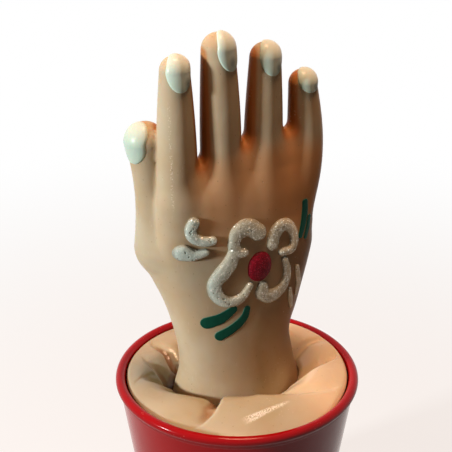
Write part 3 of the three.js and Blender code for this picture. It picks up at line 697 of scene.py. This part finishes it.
# Creases and ridges: a path of (degrees, radius) pairs, height at its start and end, width to left and right
cuff_lines = [
    (((-125, 33), (-137, 43), (-141, 53)), -6, -0.8, 1.7, 4.2),
    (((-100, 33), (-115, 42), (-122, 50)), -6, -0.8, 1.7, 4.4),
    (((-104, 33), (-102, 41), (-102, 45.5)), -4, -4.5, 3, 3.4),
    (((-110, 45.5), (-104, 49.5), (-99, 54)), -1.3, -0.4, 3.2, 0.9),
    (((-112, 33.5), (-124, 33.5), (-136, 35)), 2.2, 1.4, 1.8, 1.8),
    (((-44, 25), (-39, 36), (-40, 43), (-43, 52)), -5, -0.8, 1.5, 5),
    (((-41, 39), (-35, 36), (-22, 33)), 1.2, 0.3, 2.6, 2.6),
    (((27, 34), (37, 43), (46, 52)), -2.4, -0.8, 5, 2.4),
    (((63, 31), (69, 39), (75, 47), (80, 54)), -8, -2, 6, 1.8),
    (((104, 36), (103, 46), (101, 58)), -4.4, -1, 1.4, 4),
    (((118, 33), (121, 44)), -3, -0.3, 3, 3),
    (((134, 33), (140, 45), (144, 57)), -5, -0.8, 2, 4.5),
    (((152, 30), (158, 42), (161, 56)), -4.5, -0.8, 2, 4),
    (((173, 28), (170, 40), (174, 55)), -5, -1.0, 4, 2.2),
    (((-166, 29), (-170, 41), (-163, 54)), -4.5, -0.8, 4, 2),
    (((-150, 32), (-154, 44)), -3, -0.3, 3, 3),
]
cuff_hem, cuff_thickness, meeting_height, lowest = -30.0, 1.4, -9.0, -13.0
cuff_turns, cuff_shares, hem_rows = 540, 76, 13
wrist_gap, wall_gap, hem_gap, hem_taper = 0.3, 0.4, 0.1, 0.11


def from_stations(turn, column):
    """A value that runs smoothly round the pot through the stations."""
    table = np.array(cuff_stations, float)
    at = np.clip(np.searchsorted(table[:, 0], turn, side="right") - 1, 0, len(table) - 2)
    t = (turn - table[at, 0]) / (table[at + 1, 0] - table[at, 0])
    t = t * t * (3 - 2 * t)
    return table[at, column] + (table[at + 1, column] - table[at, column]) * t


def round_pot(angle, radius, z):
    """Places round the pot's axis, at an angle from the front towards the little finger."""
    return np.stack(np.broadcast_arrays(radius * np.sin(angle), -radius * np.cos(angle), z), -1)


def pressed(places):
    """The creases' and ridges' heights, steeper on their narrower side."""
    total = np.zeros(places.shape[:-1])
    for pairs, first, last, wide_left, wide_right in cuff_lines:
        angles, radii = np.array(pairs, float).T
        t, known = np.linspace(0, 1, 40), np.linspace(0, 1, len(pairs))
        line = round_pot(np.interp(t, known, np.radians(angles)), np.interp(t, known, radii), 0)[:, :2]
        along = np.gradient(line, axis=0)
        along /= np.linalg.norm(along, axis=1, keepdims=True)
        offset = places[..., None, :2] - line
        away = np.linalg.norm(offset, axis=-1)
        nearest = away.argmin(-1)
        gap = np.take_along_axis(offset, nearest[..., None, None], -2)[..., 0, :]
        side = along[nearest, 0] * gap[..., 1] - along[nearest, 1] * gap[..., 0]
        lean = np.clip(side / 0.8 * 0.5 + 0.5, 0, 1)
        width = wide_right + (wide_left - wide_right) * lean
        height = first + (last - first) * t[nearest]
        total += height * np.exp(-(away.min(-1) / width) ** 2)
    return total


cuff_turn = np.linspace(-np.pi, np.pi, cuff_turns, endpoint=False)[:, None]
share = np.linspace(0, 1, cuff_shares) + np.zeros((cuff_turns, 1))
inner = skin_at(lambda radius: round_pot(cuff_turn, radius, meeting_height), 5, 56) + wrist_gap
outer = pot_outer(pot_top - 10) - pot_wall - wall_gap
reach = inner + (outer - inner) * share
degrees = np.degrees(cuff_turn) + np.zeros(cuff_shares)
at_wrist, crest_share, crest_top, at_wall = (from_stations(degrees, column) for column in (1, 2, 3, 4))
rising = np.sin(np.pi / 2 * np.clip(share / crest_share, 0, 1)) ** 1.4
falling = np.clip((share - crest_share) / (1 - crest_share), 0, 1)
height = np.where(share < crest_share, at_wrist + (crest_top - at_wrist) * rising,
                  crest_top + (at_wall - crest_top) * falling**2)
height += pressed(round_pot(cuff_turn, reach, 0)) * np.clip((1 - share) / 0.12, 0, 1)
height -= 0.9 * np.clip((share - 0.94) / 0.06, 0, 1) ** 2 + 2.2 * np.clip(1 - share * 9, 0, 1) ** 2
height = np.maximum(height, lowest)
rim_line = height[:, -1:]
hem_height = rim_line + (cuff_hem - rim_line) * np.linspace(0, 1, hem_rows + 1)[1:]
hem_radius = outer - hem_gap + hem_taper * (hem_height - rim_line)
cuff_grid = np.concatenate([
    round_pot(cuff_turn, reach, height), round_pot(cuff_turn, hem_radius, hem_height)], 1)
rows = cuff_grid.shape[1]
corner = np.arange(cuff_turns * rows).reshape(cuff_turns, rows)
following = np.roll(corner, -1, 0)
cuff_faces = np.stack([corner[:, :-1], following[:, :-1], following[:, 1:], corner[:, 1:]], -1).reshape(-1, 4)
smoothed = height.copy()
for _ in range(60):
    smoothed = (np.roll(smoothed, 3, 0) + np.roll(smoothed, -3, 0) + 2 * smoothed) / 4
# Painted shade: the cuff darkens in its creases, next to the wrist and in the hollow on the thumb's side, and
# far more on the thumb's side of the pot than on the little finger's.
cuff_crease_shade = np.zeros((cuff_turns, rows))
cuff_crease_shade[:, :cuff_shares] = (np.clip((smoothed - height) / 7, 0, 1) + 0.35 * np.clip(1 - share * 6, 0, 1)
                              + 0.16 * np.clip(1 - np.abs(degrees + 113) / 26, 0, 1))
cuff_crease_shade = np.clip(cuff_crease_shade * np.where(cuff_grid[..., 0] > 0, 0.35, 1.6), 0, 1)
# The far colour lightens the cuff's little-finger side as painted light.
cuff_rubber = rubber(
    "cuff_rubber", (192, 182, 156), (186, 170, 138), (232, 206, 170),
    (160, 124, 90), (104, 74, 48), 0.24, 0.08, 0.35)
cuff = piece_of("glove_cuff_bunched", cuff_grid.reshape(-1, 3), cuff_faces, cuff_rubber,
                {"crease_shade": cuff_crease_shade.ravel()})
faced_out(cuff.data)
thickened(cuff, cuff_thickness)
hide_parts("glove_cuff")
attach(cuff, "hand_body")

# The nails: thick drops of pale mint gloss paint, laid over each fingertip in an almond shape and left to
# set in a dome. Turn about the digit, half width, reach below the ball of the tip and over it, how much of
# that end is rounded, and how far the nail leans aside as it goes over the top.
nails = {
    "thumb": (-68, 8.2, 9.5, 14, 9, 0),
    "index": (3, 6.9, 8.5, 15, 8, 2.4),
    "middle": (27, 6.8, 9.1, 14, 7, 3.2),
    "ring": (7, 6.6, 7.2, 15, 8, 2.4),
    "little": (10, 6.4, 3.2, 13, 6, 1.4),
}
nail_height, nail_fullness, nail_sunk, nail_step = 0.95, 4, 0.35, 0.36


def nail_outline(points, name):
    """0 on the nail's middle line and 1 on its edge, measured round the fingertip."""
    tip, tip_radius = digits[name][2:4]
    turn, half_width, below, over, rounded, lean = nails[name]
    turn = math.radians(turn)
    facing = np.array([math.sin(turn), -math.cos(turn), 0])
    aside = np.array([math.cos(turn), math.sin(turn), 0])
    offset = points - np.array(tip, float)
    forward, side, rise = offset @ facing, offset @ aside, offset[..., 2]
    up = np.maximum(rise, 0)
    along = np.minimum(rise, 0) + np.arctan2(up, forward) * tip_radius
    side = side - lean * (1 - forward / np.hypot(forward, up + 1e-6)) * (up > 0)
    across = np.arcsin(np.clip(side / (tip_radius + 1), -1, 1)) * (tip_radius + 1)
    across = np.where(forward + up < 0, 99, across)
    length = below + over
    low_round = 0.42 * length
    past = np.maximum(low_round - (along + below), 0) / low_round
    past = past + np.maximum(along - over + rounded, 0) / rounded
    return np.sqrt(past**2 + (across / half_width) ** 2)


def dome(points, edge, height, top, fullness, sunk):
    """A drop of paint on the skin: edge is 1 on its outline, and top is its height over the middle."""
    skin = hand_distance(points)
    rise = np.maximum(edge, 0) ** fullness + (np.maximum(skin, 0) / top) ** fullness
    return np.maximum((rise ** (1 / fullness) - 1) * height, -(skin + sunk))


nail_gloss = Finish("nail_gloss")
nail_darkening, nail_top_light = nail_gloss.mark("nail_darkening"), nail_gloss.mark("nail_top_light")
grain = nail_gloss.noise(0.45, detail=1)
nail_gloss.surface({
    "Base Color": nail_gloss.mix(
        # Darkening: painted shade over the whole thumb nail, a darker grey patch near the lower right of the
        # others.
        nail_darkening * (0.35 + grain * 0.5),
        # Painted light: the nails turn paler towards the top and towards the little finger's side.
        nail_gloss.mix(nail_top_light, (210, 232, 212), (236, 244, 238)),
        (52, 48, 38)),
    "Roughness": 0.24 + grain * 0.08 + nail_darkening * 0.2,
    "Specular IOR Level": 0.2,
    "Subsurface Weight": 0.1,
    "Subsurface Scale": 0.002,
    "Normal": nail_gloss.bump(nail_gloss.noise(3.5) * 0.6 + grain * 0.08, 0.16),
})
for name, (_, half_width, below, *_) in nails.items():
    tip, tip_radius = digits[name][2:4]

    def nail_field(points):
        edge = nail_outline(points, name)
        return dome(points, edge, nail_height, nail_height, nail_fullness, nail_sunk)

    room = tip_radius + 3.5
    low = np.array([tip[0] - room, tip[1] - room, tip[2] - below - 1.5])
    high = np.array([tip[0] + room, tip[1] + room, tip[2] + room])
    nail_points, nail_faces = skinned(nail_field, low, high, nail_step)
    up_share = (nail_points[:, 2] - tip[2] + below) / (below + tip_radius)
    side_share = (nail_points[:, 0] - tip[0]) / half_width
    low_corner = np.hypot(up_share - 0.24, (side_share - 0.62) * 0.6)
    # The thumb's nail is darkened all over as painted shade; the other nails get a darker grey patch near
    # their lower right corner.
    nail_darkening_share = np.full(len(nail_points), 0.22) if name == "thumb" else np.clip(1.35 - low_corner / 0.17, 0, 1)
    # The nail's top light rises towards the top and the little finger's side, as painted light.
    nail = piece_of(f"nail_drop_{name}", nail_points, nail_faces, nail_gloss, {
        "nail_darkening": nail_darkening_share, "nail_top_light": np.clip(0.05 + 0.55 * up_share + 0.35 * side_share, 0, 1)})
    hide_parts(f"nail_{name}")
    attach(nail, "hand_body")

# The raised strokes: an open-petalled flower and loose strokes squeezed on in thick pale glitter paint, which
# sets in rounded beads with pinholes. Paths are across and up in millimetres, seen from the front.
stroke_height, thin_height, leaf_height, stroke_step, stroke_sunk = 1.9, 0.9, 0.45, 0.32, 0.3
pit_counts = {
    "petals_left": 26, "petal_upper_right": 9, "petal_lower_right": 9, "side_hook": 8, "side_drop": 4}
plain_strokes = ("side_drop", "edge_stroke_upper", "edge_stroke_lower")
many_flakes, few_flakes, flake_radius, flake_tilt = 0.8e6, 0.2e6, 0.0002, 0.6
strokes = {
    "petals_left": [
        (((5.6, 85), (0.2, 88.4), (-4.8, 87.1), (-7.1, 83.7), (-7.7, 79.9), (-5.8, 76.2), (-2.3, 75.6)),
         (9, 9.4, 8.2, 6.6, 6.2, 6.2, 4.8)),
        (((-8.1, 75.3), (-10.3, 70.6), (-14.7, 65.7), (-18.1, 60.7), (-17, 54.6), (-12.7, 50.6), (-7.3, 50.4),
          (-2.9, 52.8), (0.5, 57.5)), (7, 8.4, 8.2, 7.4, 7, 6.4, 5.6, 4.6, 3.6)),
    ],
    "petal_upper_right": [
        (((13.4, 77.2), (14.3, 81.9), (17.4, 85.6), (21.8, 85.9), (25.2, 81.6), (25.8, 76.5), (23.7, 72.8),
          (18.8, 72.3)), (6.4, 7, 7.2, 6.4, 5.2, 4.8, 4.9, 4.4)),
    ],
    "petal_lower_right": [
        (((20.1, 67.6), (21.5, 62.3), (21.1, 56), (17.4, 51.1), (11.8, 49.3), (7.3, 51.6), (7.5, 55.2)),
         (3.8, 4.3, 5, 6.2, 7.8, 7.8, 6.4)),
    ],
    "side_hook": [
        (((-27.8, 94.4), (-29.3, 91.2), (-28.4, 87.4), (-25, 85), (-21.1, 84.2), (-18.6, 84.4)),
         (6.2, 5.9, 5.9, 5.4, 5.2, 4.8)),
    ],
    "side_drop": [(((-33.2, 79.1), (-28.2, 77.6), (-22.3, 78.6)), (9.2, 6, 3.9))],
    "edge_stroke_upper": [(((28.1, 61.3), (29.1, 56.2), (30.1, 50.8), (28.9, 45)), (2.8, 3.6, 4, 2.6))],
    "edge_stroke_lower": [(((24.1, 49.6), (24.8, 44), (25.6, 38.6)), (2.4, 3.4, 2.6))],
}
leaves = {
    "leaf_left_upper": [(((-21.7, 39), (-14.9, 41.3), (-8.5, 45.4)), (6.8, 6, 4.2))],
    "leaf_left_lower": [(((-15.6, 31.4), (-8.9, 34.9), (-3.1, 39.7), (-1, 44.6)), (5.4, 5, 4.4, 3.4))],
    "leaf_right_inner": [(((33, 95.4), (33.1, 89.7), (31.8, 83.3), (29.9, 78.1)), (3.4, 3.9, 3.6, 2.8))],
    "leaf_right_outer": [(((36.2, 86.4), (35, 80.8), (33.4, 76.4)), (2.6, 2.9, 2.4))],
}


def brush_line(path, widths, count=72):
    """A smooth line through a stroke's points, with its half widths."""
    path, widths = np.array(path, float), np.array(widths, float)
    padded = np.concatenate([[2 * path[0] - path[1]], path, [2 * path[-1] - path[-2]]])
    u = np.linspace(0, len(path) - 1, count)
    i = np.minimum(u.astype(int), len(path) - 2)
    t = (u - i)[:, None]
    a, b, c, d = (padded[i + k] for k in range(4))
    line = 0.5 * (2 * b + (c - a) * t + (2 * a - 5 * b + 4 * c - d) * t**2 + (3 * b - a - 3 * c + d) * t**3)
    return line, np.interp(u, np.arange(len(path)), widths) / 2


def wobble(points, size, seed):
    """Slow unevenness from -1 to 1, the same on each run."""
    draw = np.random.default_rng(seed)
    total = 0
    for _ in range(5):
        direction = draw.normal(size=3)
        direction *= (0.6 + 0.8 * draw.random()) * 2 * np.pi / size / np.linalg.norm(direction)
        total = total + np.sin(points @ direction + draw.random() * 6.3)
    return total / 3


def on_back(across, up):
    """Places on the back of the hand, over points across and up."""
    core = (section(up, palm_front) + section(up, palm_back)) / 2

    def place_of(depth):
        return np.stack([across, core - depth, up], -1)

    return place_of(skin_at(place_of, 0, 40))


def bead_edge(points, lines):
    """0 on a shape's middle lines and 1 on its edge. Lines that meet run together."""
    flat, nearest = points[..., ::2], None
    for line, half_widths in lines:
        away = np.full(flat.shape[:-1], 1e3)
        for start, end, first, second in zip(line[:-1], line[1:], half_widths[:-1], half_widths[1:]):
            run = end - start
            t = np.clip(((flat - start) @ run) / (run @ run + 1e-9), 0, 1)
            gap = np.linalg.norm(flat - start - t[..., None] * run, axis=-1)
            away = np.minimum(away, gap / (first + (second - first) * t))
        nearest = away if nearest is None else smooth_union(nearest, away, 0.35)
    return nearest


def painted(name, brushes, height, finish, fullness=2.4, uneven=0.025, pit_count=0, seed=1):
    """A raised painted shape on the back of the hand, which stands for the node of its name."""
    lines = [brush_line(*brush) for brush in brushes]
    line = np.concatenate([line for line, _ in lines])
    widest = max(half.max() for _, half in lines)
    surface = on_back(line[:, 0], line[:, 1])
    draw = np.random.default_rng(seed)
    pits = []
    for _ in range(pit_count):
        i = draw.integers(len(line))
        spot = line[i] + draw.normal(size=2) * widest * 0.42
        radius = 0.3 + 0.25 * draw.random()
        pits.append((on_back(spot[:1], spot[1:])[0] - np.array([0, height * 0.93, 0]), radius))

    def field(points):
        edge = bead_edge(points, lines) * (1 + uneven * wobble(points, 5, 11))
        top = height * (1 + uneven * wobble(points, 3.2, 12))
        solid = dome(points, edge, height, top, fullness, stroke_sunk)
        for pit, radius in pits:
            solid = np.maximum(solid, radius - np.linalg.norm(points - pit, axis=-1))
        return solid

    margin = widest + 1.4
    low = surface.min(0) - np.array([margin, height + 2.6, margin])
    high = surface.max(0) + np.array([margin, 3.2, margin])
    points, faces = skinned(field, low, high, stroke_step)
    piece = piece_of(f"{name}_paint", points, faces, finish, {
        "edge": bead_edge(points, lines), "crown": np.clip(hand_distance(points) / height, 0, 1)})
    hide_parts(name)
    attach(piece, "hand_body")
    return piece


pearl = Finish("pearl_paint")
pearl_x, pearl_edge_shade, pearl_grain = pearl.along("X"), pearl.mark("edge"), pearl.noise(0.5)
pearl_specks = (0.3 - pearl.dots(0.75)).step(0, 0.08)
pearl_bubbles = (0.13 - pearl.dots(3.4)).step(0, 0.04)
pearl_beads = (0.2 - pearl.dots(2.9)).step(0, 0.04)
# Painted light: the paint is cool and pale on the thumb's side, where the cool lamp falls, and warm towards
# the little finger's side.
pearl_lit_tone = pearl.mix(pearl_x.step(-26, 6), (202, 218, 206), (196, 190, 164))
pearl_lit_tone = pearl.mix(pearl_x.step(14, 34), pearl_lit_tone, (226, 206, 172))
pearl.surface({
    "Base Color": pearl.mix(
        # Painted shade along the beads' edges, with darker random grain and dark pinholes.
        (pearl_edge_shade.step(0.7, 1.0) * 0.6 + pearl_grain.step(0.35, 0.75) * 0.25).most(pearl_bubbles * 0.8),
        pearl.mix((pearl_specks * 0.5).most(pearl_beads * 0.9), pearl_lit_tone, (248, 248, 240)),
        (128, 116, 94)),
    "Metallic": 0.1 + pearl_specks * 0.3,
    "Roughness": 0.55 - pearl_specks * 0.2 + pearl_grain * 0.1,
    "Specular IOR Level": 0.2,
    "Normal": pearl.bump(pearl_grain * 0.5 + pearl_specks * 0.25 + pearl_beads - pearl_bubbles, 0.22),
})


def fleck_tree(name):
    """Scatters small six-sided flakes over the crown of a painted bead."""
    build = Growth(name, {
        "Paint": "Geometry", "Density": "Float", "Flake Radius": "Float", "Tilt": "Float", "Seed": "Int",
        "Finish": "Material"})
    add, given = build.add, build.given
    crown = add("GeometryNodeInputNamedAttribute", {"data_type": "FLOAT"}, {"Name": "crown"})
    density = crown.join("GREATER_THAN", crown, 0.3) * given["Density"]
    spots = add("GeometryNodeDistributePointsOnFaces", {}, {
        "Mesh": given["Paint"], "Density": density, "Seed": given["Seed"]}, "Points")
    flake = add("GeometryNodeMeshCylinder", {}, {
        "Vertices": 6, "Radius": given["Flake Radius"], "Depth": given["Flake Radius"] * 0.35}, "Mesh")
    lean = add("FunctionNodeRandomValue", {"data_type": "FLOAT_VECTOR"}, {
        0: given["Tilt"] * -1.0, 1: given["Tilt"], "Seed": given["Seed"]})
    turned = add("FunctionNodeRotateRotation", {"rotation_space": "LOCAL"}, {
        0: Value(build, spots.socket.node.outputs["Rotation"]),
        1: add("FunctionNodeEulerToRotation", {}, {0: lean})})
    sizes = add("FunctionNodeRandomValue", {"data_type": "FLOAT"}, {
        2: 0.55, 3: 1.25, "Seed": given["Seed"]}, 1)
    build.end(add("GeometryNodeInstanceOnPoints", {}, {
        "Points": spots, "Instance": flake, "Rotation": turned, "Scale": sizes}))
    return build.tree


silver = Finish("silver_flakes")
silver.surface({
    "Base Color": silver.mix(silver.noise(0.8), (250, 250, 244), (214, 206, 184)),
    "Metallic": 0.6,
    "Roughness": 0.25 + silver.noise(1.5) * 0.15,
})
flakes = fleck_tree("glitter_flakes")
for number, (name, brushes) in enumerate(strokes.items()):
    stroke = painted(name, brushes, stroke_height if name in pit_counts else thin_height, pearl,
                     pit_count=pit_counts.get(name, 0), seed=number + 20)
    glitter = grown(f"{name}_glitter", stroke.data, flakes, {
        "Density": few_flakes if name in plain_strokes else many_flakes,
        "Flake Radius": flake_radius, "Tilt": flake_tilt, "Seed": number, "Finish": silver.material})
    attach(glitter, "hand_body")

# The flower's centre: an oval drop of dark red paint that was set down last, between the petals. It is
# domed and leans a little to the right, and a fine dull sparkle lies in it.
centre_across, centre_up, centre_half_length, centre_half_width = 6.0, 66.6, 7.9, 6.5
centre_lean, centre_height, centre_fullness, centre_step = 17, 2.6, 2.3, 0.3


def centre_field(points):
    """The drop's field: a dome over the skin inside the oval."""
    lean = math.radians(centre_lean)
    across, up = points[..., 0] - centre_across, points[..., 2] - centre_up
    along = across * math.sin(lean) + up * math.cos(lean)
    aside = across * math.cos(lean) - up * math.sin(lean)
    edge = np.hypot(along / centre_half_length, aside / centre_half_width)
    edge = edge * (1 + 0.02 * wobble(points, 6, 5))
    return dome(points, edge, centre_height, centre_height, centre_fullness, stroke_sunk)


red_paint = Finish("red_glitter_paint")
red_grain = red_paint.noise(0.55, detail=3)
red_specks = (0.28 - red_paint.dots(0.8)).step(0, 0.06)
red_paint.surface({
    "Base Color": red_paint.mix(
        red_specks * 0.45, red_paint.mix(red_grain.step(0.3, 0.7), (138, 3, 28), (86, 2, 18)),
        (214, 60, 84)),
    "Roughness": 0.5 - red_specks * 0.2,
    "Specular IOR Level": 0.15,
    "Metallic": red_specks * 0.3,
    "Normal": red_paint.bump(red_grain * 0.6 + red_specks * 0.3, 0.25),
})
centre_place = on_back(np.array([centre_across]), np.array([centre_up]))[0]
centre_points, centre_faces = skinned(
    centre_field, centre_place - np.array([9, 4.5, 10]), centre_place + np.array([9, 3, 10]), centre_step)
centre = piece_of("flower_centre_drop", centre_points, centre_faces, red_paint)
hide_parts("flower_centre")
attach(centre, "hand_body")

# The leaves: two flat strokes of dull dark green under the flower and two on the hand's far edge, brushed
# on thinly, with streaks along them and a paler edge where the paint thins.
green_paint = Finish("green_paint")
green_edge = green_paint.mark("edge")
green_streaks = green_paint.noise(1.4, (1, 1, 0.4), 3)
green_paint.surface({
    "Base Color": green_paint.mix(
        green_edge.step(0.9, 1.02) * 0.75,
        green_paint.mix(green_streaks, (0, 78, 58), (0, 56, 42)), (110, 148, 126)),
    "Roughness": 0.42 + green_streaks * 0.2,
    "Specular IOR Level": 0.12,
    "Normal": green_paint.bump(green_streaks * 0.6 + green_paint.noise(0.5) * 0.2, 0.12),
})
for seed, (name, brushes) in enumerate(leaves.items()):
    leaf = painted(name, brushes, leaf_height, green_paint, fullness=4, uneven=0.03, seed=seed)
